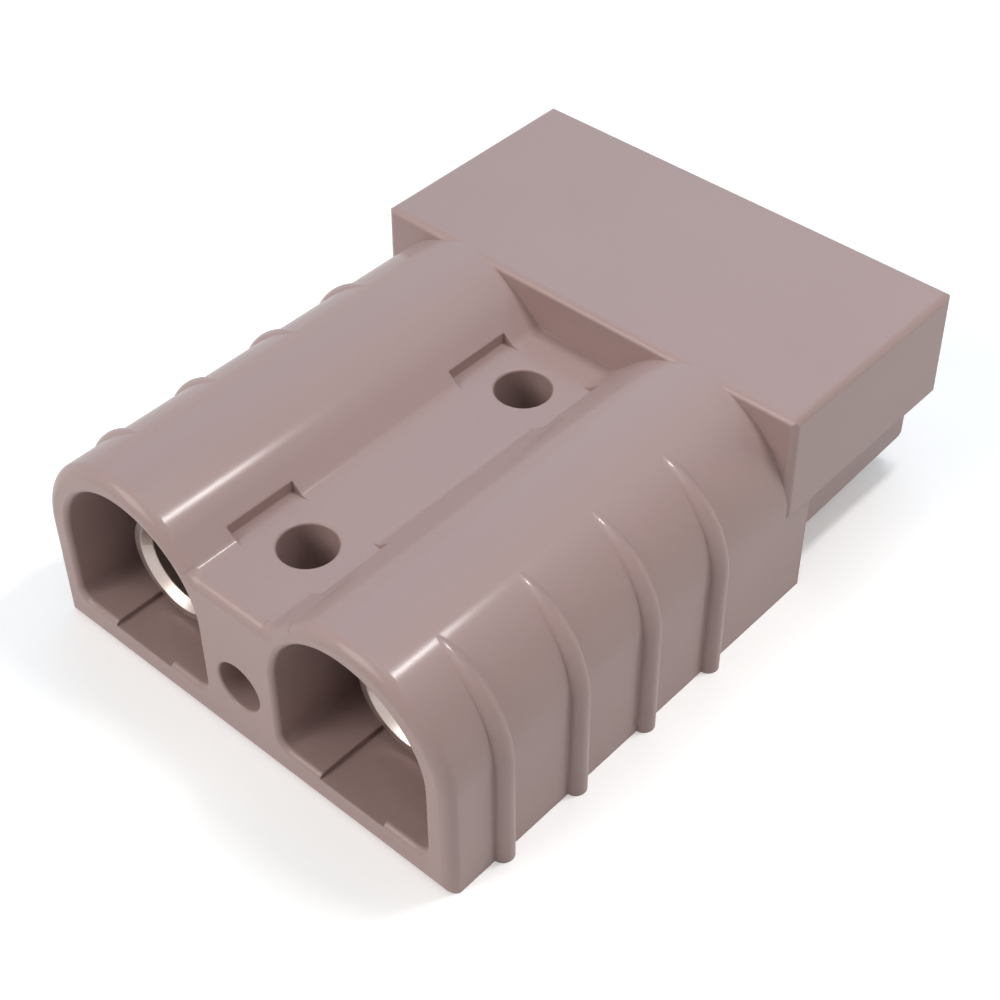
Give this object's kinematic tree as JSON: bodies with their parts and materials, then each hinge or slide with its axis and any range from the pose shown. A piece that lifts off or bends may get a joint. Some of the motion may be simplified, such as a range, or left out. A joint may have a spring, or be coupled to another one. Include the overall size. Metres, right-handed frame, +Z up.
{
  "type": "genderless power connector",
  "caption": "Flat two-pole power connector half with a moulded housing, hooded contacts and crimp barrels; it mates with its own twin turned over.",
  "frame": {"origin": "middle of the underside, on the plane the housing rests on", "axes": "+Y out of the mating end, wires leave towards -Y, +Z up, X across the two poles"},
  "size_m": [0.0586, 0.0794, 0.026],
  "materials": {
    "grey_plastic": "satin",
    "plated_copper": "satin",
    "spring_steel": "satin"
  },
  "bodies": {
    "root": {"housing": "grey_plastic", "contact_left": "plated_copper", "contact_right": "plated_copper", "spring_left": "spring_steel", "spring_right": "spring_steel"}
  },
  "joints": []
}
